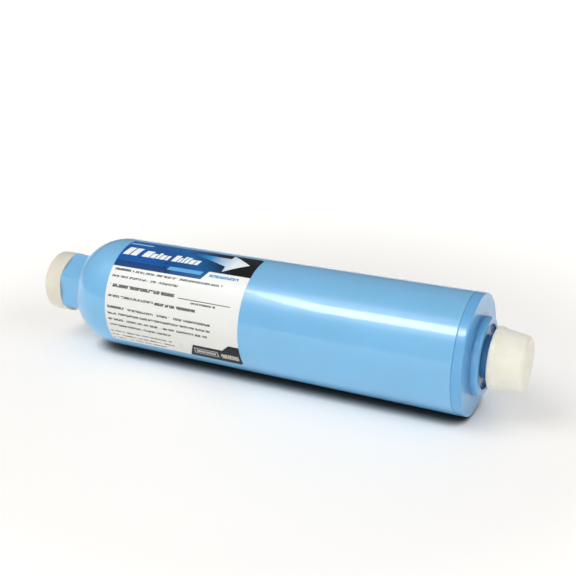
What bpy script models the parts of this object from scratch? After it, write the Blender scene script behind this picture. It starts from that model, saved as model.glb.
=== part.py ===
"""Inline hose water filter, lying on its side with its flow axis along +X.

Every turned piece is drawn as a profile of (along, radius) points in millimetres. "along" is the
distance from the seam between the housing and its end cap, positive in the direction of flow.
Profiles run down the outer side from the outlet to the inlet.
"""
import math

import bmesh
import bpy

MM = 0.001

# Housing: a slightly tapered tube that ends in a dome and a hexagonal inlet boss
BODY_RADIUS = 35.0
BODY_DRAFT = 0.0044
WALL = 3.2
DOME_START = -225.7
DOME_ROUNDING = 30.86
DOME_SWEEP = math.radians(62.8)
HEX_FACE = -265.3
HEX_ACROSS_CORNERS = 39.8
HEX_REACH = 22.2
NECK_INSET = 0.6
NECK_END_INSET = 1.3
SEAM_GAP = 0.3
SEAM_CHAMFER = 0.25

# Three-quarter inch garden hose threads, 11.5 turns to the inch
THREAD_PITCH = 25.4 / 11.5
MALE_MAJOR = 13.45
MALE_MINOR = 12.1
FEMALE_MAJOR = 13.75
FEMALE_MINOR = 12.45
THREAD_ROOT_HALF = 0.85
THREAD_CREST_HALF = 0.28
THREAD_LEAD = 1.4
THREAD_EMBED = 0.5
MALE_TURNS = 6
FEMALE_TURNS = 5

# Inlet socket in the boss
SOCKET_MOUTH_RADIUS = FEMALE_MAJOR + 0.3
WASHER_SEAT = -250.8
WASHER_THICKNESS = 3.2
WASHER_RADIUS = 12.7
WASHER_HOLE = 7.95
WASHER_RECESS_RADIUS = 13.05
WASHER_HEADROOM = 2.2
RECESS_TAPER = 0.6
THROAT_RADIUS = 8.0

# Outlet end cap: flange, round boss and threaded spout
FLANGE_FACE = 5.5
FLANGE_ROUNDING = 0.9
FLANGE_FACE_RADIUS = BODY_RADIUS - 0.15
BOSS_FACE = 10.73
BOSS_RADIUS = 22.34
BOSS_ROUNDING = 1.8
SPOUT_TIP = 27.5
SPOUT_BORE = 9.25
SPOUT_TIP_CHAMFER = 0.5
SPOUT_BORE_CHAMFER = 1.0
SPIGOT_END = -9.8
SPIGOT_WALL = 3.4
SPIGOT_LEAD_IN = (0.8, 0.5)  # length, inset
FLANGE_INNER_FACE = 2.0
BOSS_CORE_FACE = 7.0
BOSS_CORE_RADIUS = 17.5
BOSS_CORE_DRAFT = 1.0
RIB_THICKNESS = 2.2
RIB_SETBACK = 0.5
RIB_EMBED = 0.4
RIB_LINES = 3

# Inlet plug
PLUG_RIM = -277.4
PLUG_RADIUS = 18.9
PLUG_RIM_ROUNDING = 1.2
PLUG_EDGE = 0.6
PLUG_STEM_END = -256.8
PLUG_STEM_RADIUS = 12.1
PLUG_STEM_DRAFT = 0.3
PLUG_CUP_RADIUS = 15.6
PLUG_WELL_RADIUS = 10.25
PLUG_WELL_DRAFT = 0.4
PLUG_FLOOR = 2.2

# Outlet cap
CAP_MOUTH = 13.87
CAP_END = 33.0
CAP_BEAD_RADIUS = 17.9
CAP_BEAD_WIDTH = 3.3
CAP_RADIUS = 17.0
CAP_END_RADIUS = 15.05
CAP_ROUNDING = 3.3
CAP_EDGE = 0.4
CAP_BEAD_RUNOUT = 0.7
CAP_WALL = 2.2
CAP_MOUTH_WALL = 1.8
CAP_GRIP_GAP = 0.35
CAP_HOLE_DRAFT = 0.2
CAP_INNER_CORNER = (1.0, 1.6)  # length, inset

# Layers inside the housing, between two perforated plates
STACK_START = -231.5
FIT_GAP = 0.3
INLET_PLATE_THICKNESS = 2.5
OUTLET_PLATE_THICKNESS = 3.0
INLET_PAD_THICKNESS = 4.0
ALLOY_BED_LENGTH = 15.0
DIVIDER_PAD_THICKNESS = 2.0
FOAM_PAD_THICKNESS = 10.0
SEDIMENT_PAD_THICKNESS = 6.0
INLET_PLATE_GAP = 0.85
PLATE_HOLE_RADIUS = 1.8
PLATE_HOLE_RINGS = ((6.0, 6), (12.5, 10), (19.0, 14))  # radius, holes

# Label wrapped over the front and top of the housing, angles measured up from the front (-Y)
LABEL_START = -219.5
LABEL_END = -127.3
LABEL_LOW_ANGLE = math.radians(-38.3)
LABEL_HIGH_ANGLE = math.radians(92.5)
LABEL_GAP = 0.2
LABEL_THICKNESS = 0.25

# Facets of a full turn, of an arc, and what counts as one point, in metres
BODY_STEPS = 64
FITTING_STEPS = 40
THREAD_STEPS = 24
LABEL_STEPS = 36
HOLE_STEPS = 10
DOME_STEPS = 10
INNER_DOME_STEPS = 6
EDGE_STEPS = 4
MERGE_DISTANCE = 0.00001
CUTTER_EXTRA = 2.0


def outer_radius(along):
    """Radius of the tapered housing at a distance from the seam."""
    return BODY_RADIUS + BODY_DRAFT * along


def inner_radius(along):
    return outer_radius(along) - WALL


def clear_scene():
    for old in list(bpy.data.objects):
        bpy.data.objects.remove(old, do_unlink=True)


def new_collection(name):
    collection = bpy.data.collections.new(name)
    bpy.context.scene.collection.children.link(collection)
    return collection


def make_material(name, color, roughness, metallic=0.0):
    material = bpy.data.materials.new(name)
    material.use_nodes = True
    shader = material.node_tree.nodes["Principled BSDF"]
    shader.inputs["Base Color"].default_value = (*color, 1.0)
    shader.inputs["Roughness"].default_value = roughness
    shader.inputs["Metallic"].default_value = metallic
    return material


def arc(center, radius, start, end, count):
    """Points on a circle in the (along, radius) plane; angle 0 points to the outlet, 90 degrees outwards."""
    points = []
    for step in range(count + 1):
        angle = start + (end - start) * step / count
        points.append((center[0] + radius * math.cos(angle), center[1] + radius * math.sin(angle)))
    return points


def add_object(name, mesh, parent, collection, material=None):
    obj = bpy.data.objects.new(name, mesh)
    collection.objects.link(obj)
    obj.parent = parent
    if material is not None:
        mesh.materials.append(material)
    return obj


def profile_mesh(name, points, closed, origin=0.0):
    """A line of edges in the plane that the Screw modifier turns about Z."""
    mesh = bpy.data.meshes.new(name)
    vertices = [(radius * MM, 0.0, (along - origin) * MM) for along, radius in points]
    edges = [(i, i + 1) for i in range(len(vertices) - 1)]
    if closed:
        edges.append((len(vertices) - 1, 0))
    mesh.from_pydata(vertices, edges, [])
    return mesh


def add_screw(obj, steps, angle=2.0 * math.pi, pitch=0.0, turns=1):
    screw = obj.modifiers.new("turn", "SCREW")
    screw.axis = "Z"
    screw.angle = angle
    screw.screw_offset = pitch * MM
    screw.iterations = turns
    screw.steps = steps
    screw.render_steps = steps
    screw.use_merge_vertices = pitch == 0.0
    screw.merge_threshold = MERGE_DISTANCE
    screw.use_smooth_shade = True
    return screw


def turned(name, points, parent, collection, material, steps, closed=True, origin=0.0):
    """A solid of revolution about the flow axis; its object sits at "origin" on that axis."""
    obj = add_object(name, profile_mesh(name, points, closed, origin), parent, collection, material)
    obj.location.z = origin * MM
    add_screw(obj, steps)
    return obj


def disc(name, start, thickness, parent, collection, material):
    """A pad or bed that fills the tapered bore from "start" towards the outlet."""
    end = start + thickness
    points = [
        (end, 0.0),
        (end, inner_radius(end) - FIT_GAP),
        (start, inner_radius(start) - FIT_GAP),
        (start, 0.0),
    ]
    return turned(name, points, parent, collection, material, FITTING_STEPS, closed=False)


def add_boolean(obj, tool, operation):
    tool.hide_render = True
    tool.display_type = "WIRE"
    boolean = obj.modifiers.new(operation.lower() + "_" + tool.name, "BOOLEAN")
    boolean.operation = operation
    boolean.solver = "EXACT"
    boolean.object = tool
    return boolean


def helix_solid(name, first, turns, root, crest, parent, collection):
    """A closed helical ridge whose middle starts at "first" and climbs towards the outlet."""
    points = [
        (first + THREAD_ROOT_HALF, root),
        (first + THREAD_CREST_HALF, crest),
        (first - THREAD_CREST_HALF, crest),
        (first - THREAD_ROOT_HALF, root),
    ]
    guide = add_object(name + "_profile", profile_mesh(name, points, True), parent, collection)
    add_screw(guide, THREAD_STEPS, pitch=THREAD_PITCH, turns=turns)
    depsgraph = bpy.context.evaluated_depsgraph_get()
    mesh = bpy.data.meshes.new_from_object(guide.evaluated_get(depsgraph))
    bpy.data.objects.remove(guide, do_unlink=True)
    shape = bmesh.new()
    shape.from_mesh(mesh)
    bmesh.ops.remove_doubles(shape, verts=shape.verts, dist=MERGE_DISTANCE / 10.0)
    open_edges = [edge for edge in shape.edges if edge.is_boundary]
    bmesh.ops.holes_fill(shape, edges=open_edges, sides=len(points))
    bmesh.ops.recalc_face_normals(shape, faces=shape.faces)
    shape.to_mesh(mesh)
    shape.free()
    return add_object(name, mesh, parent, collection)


def primitive(name, build, parent, collection):
    """An object whose mesh is filled by one bmesh primitive."""
    mesh = bpy.data.meshes.new(name)
    shape = bmesh.new()
    build(shape)
    shape.to_mesh(mesh)
    shape.free()
    return add_object(name, mesh, parent, collection)


def build_housing(parent, parts, tools, material):
    """Tube, dome and hexagonal boss in one moulding, with the female hose thread cut into the boss."""
    dome_center = (DOME_START, outer_radius(DOME_START) - DOME_ROUNDING)
    quarter = math.pi / 2.0
    outer_dome = arc(dome_center, DOME_ROUNDING, quarter, quarter + DOME_SWEEP, DOME_STEPS)
    inner_rounding = DOME_ROUNDING - WALL
    inner_end = WASHER_SEAT + WALL
    inner_sweep = math.asin((DOME_START - inner_end) / inner_rounding)
    inner_dome = arc(dome_center, inner_rounding, quarter + inner_sweep, quarter, INNER_DOME_STEPS)
    dome_end, dome_end_radius = outer_dome[-1]
    neck_radius = dome_end_radius - NECK_INSET
    neck_end = HEX_FACE + NECK_END_INSET
    mouth = -SEAM_GAP / 2.0
    points = [(inner_end, 0.0)] + inner_dome
    points += [(mouth, inner_radius(mouth)), (mouth, outer_radius(mouth) - SEAM_CHAMFER)]
    points += [(mouth - SEAM_CHAMFER, outer_radius(mouth))]
    points += outer_dome
    points += [(dome_end - NECK_INSET, neck_radius), (neck_end, neck_radius), (neck_end, 0.0)]
    housing = turned("housing_shell", points, parent, parts, material, BODY_STEPS, closed=False)

    hexagon_length = DOME_START - HEX_REACH - HEX_FACE

    def hexagon_shape(shape):
        radius = HEX_ACROSS_CORNERS / 2.0 * MM
        bmesh.ops.create_cone(
            shape, cap_ends=True, segments=6, radius1=radius, radius2=radius, depth=hexagon_length * MM
        )

    hexagon = primitive("inlet_hexagon", hexagon_shape, parent, tools)
    hexagon.location.z = (HEX_FACE + hexagon_length / 2.0) * MM
    hexagon.rotation_euler.z = math.radians(30.0)
    add_boolean(housing, hexagon, "UNION")

    recess_start = WASHER_SEAT - WASHER_THICKNESS - WASHER_HEADROOM
    socket_points = [
        (inner_end + CUTTER_EXTRA, 0.0),
        (inner_end + CUTTER_EXTRA, THROAT_RADIUS),
        (WASHER_SEAT, THROAT_RADIUS),
        (WASHER_SEAT, WASHER_RECESS_RADIUS),
        (recess_start, WASHER_RECESS_RADIUS),
        (recess_start - RECESS_TAPER, FEMALE_MINOR),
        (HEX_FACE + SOCKET_MOUTH_RADIUS - FEMALE_MINOR, FEMALE_MINOR),
        (HEX_FACE, SOCKET_MOUTH_RADIUS),
        (HEX_FACE - CUTTER_EXTRA, SOCKET_MOUTH_RADIUS),
        (HEX_FACE - CUTTER_EXTRA, 0.0),
    ]
    socket = turned("inlet_socket_cutter", socket_points, parent, tools, None, FITTING_STEPS, closed=False)
    add_boolean(housing, socket, "DIFFERENCE")

    thread_start = HEX_FACE - THREAD_LEAD
    thread_root = FEMALE_MINOR - THREAD_EMBED
    thread = helix_solid(
        "inlet_thread_cutter", thread_start, FEMALE_TURNS, thread_root, FEMALE_MAJOR, parent, tools
    )
    add_boolean(housing, thread, "DIFFERENCE")
    return housing


def build_end_cap(parent, parts, tools, material):
    """Spin-welded cap: a spigot inside the tube, a flange, a round boss and the threaded spout."""
    back = SEAM_GAP / 2.0
    spigot_radius = inner_radius(0.0) - FIT_GAP
    quarter = math.pi / 2.0
    boss_center = (BOSS_FACE - BOSS_ROUNDING, BOSS_RADIUS - BOSS_ROUNDING)
    boss_edge = arc(boss_center, BOSS_ROUNDING, 0.0, quarter, EDGE_STEPS)
    flange_center = (FLANGE_FACE - FLANGE_ROUNDING, FLANGE_FACE_RADIUS - FLANGE_ROUNDING)
    flange_edge = arc(flange_center, FLANGE_ROUNDING, 0.0, quarter, EDGE_STEPS)
    spigot_lead, spigot_inset = SPIGOT_LEAD_IN
    points = [
        (SPOUT_TIP, SPOUT_BORE),
        (SPOUT_TIP, MALE_MINOR - SPOUT_TIP_CHAMFER),
        (SPOUT_TIP - SPOUT_TIP_CHAMFER, MALE_MINOR),
        (BOSS_FACE, MALE_MINOR),
    ]
    points += boss_edge
    points += [(FLANGE_FACE, BOSS_RADIUS)]
    points += flange_edge
    points += [
        (back + SEAM_CHAMFER, BODY_RADIUS),
        (back, BODY_RADIUS - SEAM_CHAMFER),
        (back, spigot_radius),
        (SPIGOT_END + spigot_lead, spigot_radius),
        (SPIGOT_END, spigot_radius - spigot_inset),
        (SPIGOT_END, spigot_radius - SPIGOT_WALL),
        (FLANGE_INNER_FACE, spigot_radius - SPIGOT_WALL),
        (FLANGE_INNER_FACE, BOSS_CORE_RADIUS + BOSS_CORE_DRAFT),
        (BOSS_CORE_FACE, BOSS_CORE_RADIUS),
        (BOSS_CORE_FACE, SPOUT_BORE + SPOUT_BORE_CHAMFER),
        (BOSS_CORE_FACE + SPOUT_BORE_CHAMFER, SPOUT_BORE),
    ]
    end_cap = turned("outlet_end_cap", points, parent, parts, material, BODY_STEPS)

    rib_top = FLANGE_INNER_FACE + RIB_EMBED
    rib_height = rib_top - SPIGOT_END - RIB_SETBACK
    rib_reach = 2.0 * (spigot_radius - SPIGOT_WALL / 2.0)

    def rib_shape(shape):
        bmesh.ops.create_cube(shape, size=1.0)
        size = (rib_reach * MM, RIB_THICKNESS * MM, rib_height * MM)
        bmesh.ops.scale(shape, vec=size, verts=shape.verts)

    for line in range(RIB_LINES):
        rib = primitive("support_rib_" + str(line + 1), rib_shape, parent, tools)
        rib.location.z = (rib_top - rib_height / 2.0) * MM
        rib.rotation_euler.z = math.pi * (line + 0.5) / RIB_LINES
        add_boolean(end_cap, rib, "UNION")

    thread_start = SPOUT_TIP - THREAD_LEAD - MALE_TURNS * THREAD_PITCH
    thread_root = MALE_MINOR - THREAD_EMBED
    thread = helix_solid("spout_thread", thread_start, MALE_TURNS, thread_root, MALE_MAJOR, parent, tools)
    add_boolean(end_cap, thread, "UNION")
    return end_cap


def build_inlet_plug(parent, parts, material):
    """Flanged plug with a conical cup, whose stem sits inside the female thread."""
    seat = HEX_FACE - FIT_GAP
    stem_end_radius = PLUG_STEM_RADIUS - PLUG_STEM_DRAFT
    well_floor = PLUG_STEM_END - PLUG_FLOOR
    points = [
        (PLUG_STEM_END, 0.0),
        (PLUG_STEM_END, stem_end_radius - PLUG_EDGE),
        (PLUG_STEM_END - PLUG_EDGE, stem_end_radius),
        (seat, PLUG_STEM_RADIUS),
        (seat, PLUG_RADIUS - PLUG_EDGE),
        (seat - PLUG_EDGE, PLUG_RADIUS),
    ]
    rim_center = (PLUG_RIM + PLUG_RIM_ROUNDING, PLUG_RADIUS - PLUG_RIM_ROUNDING)
    points += arc(rim_center, PLUG_RIM_ROUNDING, math.pi / 2.0, math.pi, EDGE_STEPS)
    points += [
        (PLUG_RIM, PLUG_CUP_RADIUS + PLUG_EDGE),
        (PLUG_RIM + PLUG_EDGE, PLUG_CUP_RADIUS),
        (seat, PLUG_WELL_RADIUS),
        (well_floor, PLUG_WELL_RADIUS - PLUG_WELL_DRAFT),
        (well_floor, 0.0),
    ]
    return turned(
        "inlet_plug", points, parent, parts, material, FITTING_STEPS, closed=False, origin=HEX_FACE
    )


def build_outlet_cap(parent, parts, material):
    """Push-on cap with a bead around its mouth, over the spout's thread."""
    bead_end = CAP_MOUTH + CAP_BEAD_WIDTH
    mouth_hole = CAP_RADIUS - CAP_MOUTH_WALL
    tip_hole = MALE_MAJOR + CAP_GRIP_GAP
    inner_end = CAP_END - CAP_WALL
    corner_length, corner_inset = CAP_INNER_CORNER
    end_center = (CAP_END - CAP_ROUNDING, CAP_END_RADIUS - CAP_ROUNDING)
    points = [(CAP_END, 0.0)]
    points += arc(end_center, CAP_ROUNDING, 0.0, math.pi / 2.0, EDGE_STEPS + 2)
    points += [
        (bead_end + CAP_BEAD_RUNOUT, CAP_RADIUS),
        (bead_end, CAP_BEAD_RADIUS - CAP_EDGE),
        (bead_end - CAP_EDGE, CAP_BEAD_RADIUS),
        (CAP_MOUTH + CAP_EDGE, CAP_BEAD_RADIUS),
        (CAP_MOUTH, CAP_BEAD_RADIUS - CAP_EDGE),
        (CAP_MOUTH, mouth_hole + CAP_EDGE),
        (CAP_MOUTH + CAP_EDGE, mouth_hole),
        (SPOUT_TIP - SPOUT_TIP_CHAMFER, tip_hole),
        (inner_end - corner_length, tip_hole - CAP_HOLE_DRAFT),
        (inner_end, tip_hole - corner_inset),
        (inner_end, 0.0),
    ]
    return turned(
        "outlet_cap", points, parent, parts, material, FITTING_STEPS, closed=False, origin=CAP_MOUTH
    )


def build_hose_washer(parent, parts, material):
    seat = WASHER_SEAT - FIT_GAP
    points = [
        (seat, WASHER_HOLE),
        (seat, WASHER_RADIUS),
        (seat - WASHER_THICKNESS, WASHER_RADIUS),
        (seat - WASHER_THICKNESS, WASHER_HOLE),
    ]
    return turned("inlet_hose_washer", points, parent, parts, material, FITTING_STEPS)


def build_plate(name, start, thickness, radius, parent, parts, tools, material):
    """A disc pierced by rings of round holes."""
    points = [
        (start + thickness, 0.0),
        (start + thickness, radius),
        (start, radius),
        (start, 0.0),
    ]
    plate = turned(name, points, parent, parts, material, FITTING_STEPS, closed=False)

    def hole_shape(shape):
        depth = (thickness + CUTTER_EXTRA) * MM
        for ring_radius, count in PLATE_HOLE_RINGS:
            for index in range(count):
                angle = 2.0 * math.pi * (index + 0.5) / count
                drill = bmesh.ops.create_cone(
                    shape,
                    cap_ends=True,
                    segments=HOLE_STEPS,
                    radius1=PLATE_HOLE_RADIUS * MM,
                    radius2=PLATE_HOLE_RADIUS * MM,
                    depth=depth,
                )
                offset = (ring_radius * MM * math.cos(angle), ring_radius * MM * math.sin(angle), 0.0)
                bmesh.ops.translate(shape, vec=offset, verts=drill["verts"])

    drills = primitive(name + "_drills", hole_shape, parent, tools)
    drills.location.z = (start + thickness / 2.0) * MM
    add_boolean(plate, drills, "DIFFERENCE")
    return plate


def build_label(parent, parts, material):
    """A thin sheet wrapped part of the way round the housing."""
    gap = LABEL_GAP
    points = [(LABEL_END, outer_radius(LABEL_END) + gap), (LABEL_START, outer_radius(LABEL_START) + gap)]
    label = add_object("label", profile_mesh("label", points, False), parent, parts, material)
    label.rotation_euler.z = math.radians(270.0) - LABEL_HIGH_ANGLE
    screw = add_screw(label, LABEL_STEPS, angle=LABEL_HIGH_ANGLE - LABEL_LOW_ANGLE)
    screw.use_merge_vertices = False
    solidify = label.modifiers.new("thickness", "SOLIDIFY")
    solidify.thickness = LABEL_THICKNESS * MM
    solidify.offset = 1.0
    return label


def build_filling(parent, parts, tools, finishes):
    """Everything between the two perforated plates, packed from the inlet to the outlet."""
    plate_radius = inner_radius(STACK_START) - INLET_PLATE_GAP
    build_plate(
        "inlet_diffuser_plate", STACK_START, INLET_PLATE_THICKNESS, plate_radius,
        parent, parts, tools, finishes["plate"],
    )
    plate_start = SPIGOT_END - FIT_GAP - OUTLET_PLATE_THICKNESS
    plate_radius = inner_radius(plate_start) - FIT_GAP
    build_plate(
        "outlet_retainer_plate", plate_start, OUTLET_PLATE_THICKNESS, plate_radius,
        parent, parts, tools, finishes["plate"],
    )
    from_inlet = (
        ("inlet_felt_pad", INLET_PAD_THICKNESS, "felt"),
        ("copper_zinc_bed", ALLOY_BED_LENGTH, "alloy"),
        ("divider_felt_pad", DIVIDER_PAD_THICKNESS, "felt"),
    )
    start = STACK_START + INLET_PLATE_THICKNESS + FIT_GAP
    for name, thickness, finish in from_inlet:
        disc(name, start, thickness, parent, parts, finishes[finish])
        start += thickness + FIT_GAP
    carbon_start = start
    from_outlet = (
        ("sediment_pad", SEDIMENT_PAD_THICKNESS, "fine_felt"),
        ("foam_compression_pad", FOAM_PAD_THICKNESS, "foam"),
    )
    end = plate_start - FIT_GAP
    for name, thickness, finish in from_outlet:
        disc(name, end - thickness, thickness, parent, parts, finishes[finish])
        end -= thickness + FIT_GAP
    disc("carbon_bed", carbon_start, end - carbon_start, parent, parts, finishes["carbon"])


def main():
    clear_scene()
    parts = new_collection("inline_water_filter")
    tools = new_collection("cutters")
    flow_axis = bpy.data.objects.new("flow_axis", None)
    parts.objects.link(flow_axis)
    seam_offset = -(PLUG_RIM + CAP_END) / 2.0
    flow_axis.location = (seam_offset * MM, 0.0, BODY_RADIUS * MM)
    flow_axis.rotation_euler.y = math.pi / 2.0

    blue = make_material("blue_moulding", (0.16, 0.46, 0.80), 0.28)
    cap_blue = make_material("blue_end_moulding", (0.15, 0.44, 0.78), 0.26)
    cream = make_material("cream_closure", (0.82, 0.78, 0.68), 0.45)
    cream_cap = make_material("cream_cap", (0.82, 0.78, 0.68), 0.45)
    rubber = make_material("black_rubber", (0.03, 0.03, 0.03), 0.7)
    sheet = make_material("printed_sheet", (0.86, 0.86, 0.85), 0.3)
    finishes = {
        "plate": make_material("white_plastic", (0.80, 0.80, 0.78), 0.5),
        "felt": make_material("white_felt", (0.80, 0.79, 0.74), 0.95),
        "fine_felt": make_material("fine_felt", (0.76, 0.75, 0.70), 0.95),
        "alloy": make_material("copper_zinc_granules", (0.60, 0.42, 0.18), 0.5, 0.8),
        "carbon": make_material("carbon_granules", (0.02, 0.02, 0.02), 0.85),
        "foam": make_material("open_cell_foam", (0.30, 0.30, 0.31), 0.95),
    }

    build_housing(flow_axis, parts, tools, blue)
    build_end_cap(flow_axis, parts, tools, cap_blue)
    build_inlet_plug(flow_axis, parts, cream)
    build_outlet_cap(flow_axis, parts, cream_cap)
    build_hose_washer(flow_axis, parts, rubber)
    build_filling(flow_axis, parts, tools, finishes)
    build_label(flow_axis, parts, sheet)


main()
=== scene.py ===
"""Looks of the inline hose water filter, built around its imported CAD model.

The filter's sizes are in millimetres. "along" is the distance from the seam between the housing and
its end cap, positive in the direction of flow. "angle" goes round the flow axis, from the front (-Y)
up to the top (+Z). place() turns them into metres in the frame of the CAD model. The studio's floor,
lights and camera are in metres.
"""
import math

import bmesh
import bpy
import numpy as np
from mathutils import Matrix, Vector, noise


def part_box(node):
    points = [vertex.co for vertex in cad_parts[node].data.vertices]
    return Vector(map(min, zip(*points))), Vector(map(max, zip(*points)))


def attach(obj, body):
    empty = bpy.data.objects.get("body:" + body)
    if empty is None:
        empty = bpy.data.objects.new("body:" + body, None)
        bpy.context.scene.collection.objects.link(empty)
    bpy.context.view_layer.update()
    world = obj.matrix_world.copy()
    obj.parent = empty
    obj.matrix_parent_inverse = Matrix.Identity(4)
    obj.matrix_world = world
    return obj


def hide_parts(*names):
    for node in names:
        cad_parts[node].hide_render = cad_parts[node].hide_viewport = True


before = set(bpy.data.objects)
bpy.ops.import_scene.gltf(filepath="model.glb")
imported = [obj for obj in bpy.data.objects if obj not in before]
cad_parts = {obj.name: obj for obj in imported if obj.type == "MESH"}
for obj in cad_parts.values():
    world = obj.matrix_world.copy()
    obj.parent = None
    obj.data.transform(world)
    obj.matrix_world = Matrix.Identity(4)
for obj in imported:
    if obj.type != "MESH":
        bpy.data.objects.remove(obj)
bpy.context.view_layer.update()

MM = 0.001

# Read from the frame: the seam's place, the flow axis and the outer sizes
SEAM_GAP = 0.3
SEAM_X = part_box("housing_shell")[1].x + SEAM_GAP / 2.0 * MM
AXIS_Z = (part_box("outlet_end_cap")[0].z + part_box("outlet_end_cap")[1].z) / 2.0
SEAM_MIDDLE = Vector((SEAM_X, 0.0, AXIS_Z))


def start_of(node):
    """Where a CAD node begins, as a distance along the flow axis."""
    return (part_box(node)[0].x - SEAM_X) / MM


def end_of(node):
    """Where a CAD node ends, as a distance along the flow axis."""
    return (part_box(node)[1].x - SEAM_X) / MM


def radius_of(node):
    """The outer radius of a CAD node that is centred on the flow axis."""
    return (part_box(node)[1].z - AXIS_Z) / MM


# In the names below, a lip, a land or a margin is a short straight stretch beside an edge or a thread.

# Housing: a slightly tapered tube that ends in a dome and a hexagonal inlet boss
BODY_RADIUS = radius_of("outlet_end_cap")
BODY_DRAFT = 0.0044
WALL = 3.2
MOUTH_LENGTH = 8.0
MOUTH_LIP = 1.0
DOME_START = -225.7
DOME_ROUNDING = 30.86
DOME_SWEEP = math.radians(62.8)
DOME_BLEND_SWEEP = math.radians(13.0)
HEX_FACE = start_of("housing_shell")
HEX_FLAT = 34.47 / 2.0
HEX_CORNER_ROUNDING = 0.5
HEX_LEAST_ROUNDING = 0.2
HEX_SHARPENING = 0.3
HEX_EDGE_ROUNDING = 0.35
HEX_FACE_MARGIN = 0.3
HEX_BLEND = 1.7
HEX_BLEND_LENGTH = 2.6
SEAM_ROUNDING = 0.28
WELD_DEPTH = 0.35
WELD_ROUNDING = 0.08
WELD_CLEARANCE = 0.01

# Three-quarter inch garden hose threads, 11.5 turns to the inch
THREAD_PITCH = 25.4 / 11.5
MALE_MAJOR = 13.45
MALE_MINOR = 12.1
FEMALE_MAJOR = 13.75
FEMALE_MINOR = 12.45
THREAD_ROOT_HALF = 0.85
THREAD_CREST_HALF = 0.28
THREAD_LEAD = 1.4
THREAD_RUNOUT = 0.12
THREAD_RING_GAP = 0.05
MALE_TURNS = 6
FEMALE_TURNS = 5
RINGS_PER_TURN = 18

# Inlet socket
WASHER_SEAT = -250.8
WASHER_ROUNDING = 0.45
WASHER_HOLE = 7.95
WASHER_RECESS_RADIUS = 13.05
WASHER_HEADROOM = 2.2
THROAT_RADIUS = 8.0
THROAT_LAND = 2.0
SOCKET_LEAD_IN = 1.6
SOCKET_EDGE = 0.35
SOCKET_EDGE_DEPTH = 0.12
SOCKET_MARGIN = 0.2
RECESS_LIP = 0.6

# Outlet end cap: flange, round boss and threaded spout
FLANGE_FACE = 5.5
FLANGE_ROUNDING = 0.9
FLANGE_DRAFT = 0.15
BOSS_FACE = 10.73
BOSS_RADIUS = 22.34
BOSS_ROUNDING = 1.8
BOSS_FILLET = 0.5
BOSS_RECESS_RADIUS = 18.3
BOSS_RECESS_DEPTH = 2.0
SPOUT_TIP = end_of("outlet_end_cap")
SPOUT_BORE = 9.25
SPOUT_BORE_LIP = 0.9
SPOUT_TIP_ROUNDING = 0.5
SPOUT_TIP_LAND = 0.35
SPIGOT_END = start_of("outlet_end_cap")
SPIGOT_WALL = 3.4
SPIGOT_GAP = 0.3
FLANGE_INNER_FACE = 2.0
BOSS_CORE_FACE = 7.0
BOSS_CORE_RADIUS = 17.5
BOSS_CORE_DRAFT = 1.0
BOSS_CORE_LAND = 1.6
RIB_THICKNESS = 2.2
RIB_SETBACK = 0.5
RIB_EMBED = 0.4
RIB_LINES = 3

# Inlet plug
PLUG_RIM = start_of("inlet_plug")
PLUG_STEM_END = end_of("inlet_plug")
PLUG_RADIUS = radius_of("inlet_plug")
PLUG_STEM_RADIUS = 12.1
PLUG_STEM_DRAFT = 0.3
PLUG_CUP_RADIUS = 15.8
PLUG_WELL_RADIUS = 10.25
PLUG_WELL_DRAFT = 0.4
PLUG_FLOOR = 2.2
PLUG_GAP = 0.08
PLUG_SEAT = HEX_FACE - PLUG_GAP

# Outlet cap
CAP_MOUTH = start_of("outlet_cap")
CAP_END = end_of("outlet_cap")
CAP_BEAD_RADIUS = radius_of("outlet_cap")
CAP_BEAD_WIDTH = 3.3
CAP_BEAD_SLOPE = 1.8
CAP_RADIUS = 17.0
CAP_END_RADIUS = 15.05
CAP_ROUNDING = 3.3
CAP_WALL = 2.2
CAP_MOUTH_WALL = 1.8
CAP_THREAD_CLEARANCE = 0.35
CAP_HOLE_DRAFT = 0.2
CAP_HOLE_OVERLAP = 0.5

# Moulding marks on both closures
GATE_RADIUS = 1.5
GATE_DEPTH = 0.35
GATE_DRAFT = 0.2

# Label wrapped over the front and top of the housing
LABEL_START = start_of("label")
LABEL_END = end_of("label")
LABEL_LOW_ANGLE = math.radians(-38.3)
LABEL_HIGH_ANGLE = math.radians(92.5)
LABEL_GAP = 0.04
LABEL_THICKNESS = 0.12
LABEL_CORNER = 2.2
LABEL_LENGTH = LABEL_END - LABEL_START

# How finely the surfaces are divided
ROUND_COLUMNS = 144
HEX_COLUMNS_PER_SIDE = 40
ARC_STEPS = 6
TUBE_RINGS = 24
DOME_STEPS = 26
BLEND_RINGS = 34
HEX_SIDE_RINGS = 5
INNER_DOME_STEPS = 12
INNER_TUBE_RINGS = 8
LABEL_CORNER_STEPS = 7
LABEL_MIDDLE_ROWS = 70
LABEL_COLUMNS = 72
SHARP_ANGLE = math.radians(40.0)

# Studio floor, in metres
FLOOR_HALF = 9.0
FLOOR_GAP = 0.00002

# Colours of the mouldings
HOUSING_BLUE = (0.180, 0.485, 0.78)
# The end cap's blue is the housing's blue darkened as painted shade, for faces turned from the light
SHADED_END_BLUE = (0.115, 0.40, 0.73)
# Painted shade in the end cap's grooves and inner corners
CREASE_SHADE_BLUE = (0.005, 0.03, 0.16)
CREAM = (0.88, 0.85, 0.75)
# The plug is the cap's cream darkened by this factor: painted shade
PLUG_PAINTED_SHADE = 0.84


def outer_radius(along):
    """Radius of the tapered housing at a distance from the seam."""
    return BODY_RADIUS + BODY_DRAFT * along


def inner_radius(along):
    return outer_radius(along) - WALL


LABEL_HEIGHT = (LABEL_HIGH_ANGLE - LABEL_LOW_ANGLE) * outer_radius((LABEL_START + LABEL_END) / 2.0)


def place(along, radius, angle):
    """Metres in the frame of the CAD model; works on numbers and on arrays."""
    along, radius, angle = np.broadcast_arrays(along, radius, angle)
    return np.stack(
        [
            SEAM_X + along * MM,
            -radius * np.cos(angle) * MM,
            AXIS_Z + radius * np.sin(angle) * MM,
        ],
        axis=-1,
    )


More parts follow.
